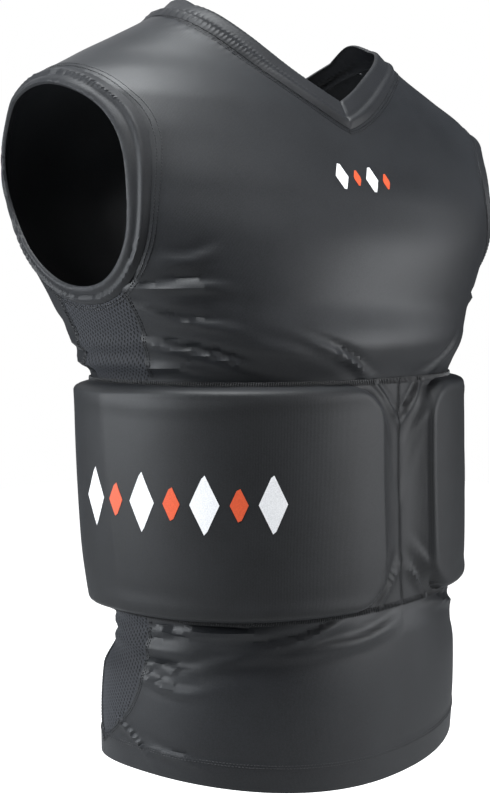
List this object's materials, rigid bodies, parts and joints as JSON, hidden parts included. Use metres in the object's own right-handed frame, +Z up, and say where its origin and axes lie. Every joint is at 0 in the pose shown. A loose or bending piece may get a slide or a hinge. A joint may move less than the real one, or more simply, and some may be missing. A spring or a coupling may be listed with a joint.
{
  "type": "rib protector shirt",
  "caption": "Black sleeveless V-neck compression shirt with bent foam plates held in cloth pockets round the ribs and open mesh side panels.",
  "frame": {"origin": "centre plane of the wearer, between the shoulders, at the height where the shirt rests on them", "axes": "+Z up along the wearer, front of the shirt towards -Y, wearer's left at +X"},
  "size_m": [0.4683, 0.3242, 0.6677],
  "materials": {
    "stretch_cloth": "matte stretch knit with a faint sheen",
    "band_cloth": "folded stretch knit, matte",
    "mesh_cloth": "open diagonal mesh knit",
    "foam": "closed-cell foam, matte"
  },
  "bodies": {
    "root": {"front_panel": "stretch_cloth", "back_panel": "stretch_cloth", "side_mesh_right": "mesh_cloth", "side_mesh_left": "mesh_cloth", "collar_band": "band_cloth", "armhole_band_right": "band_cloth", "armhole_band_left": "band_cloth", "rib_pad_right": "foam", "rib_pad_left": "foam", "pocket_right": "stretch_cloth", "pocket_left": "stretch_cloth"}
  },
  "joints": []
}
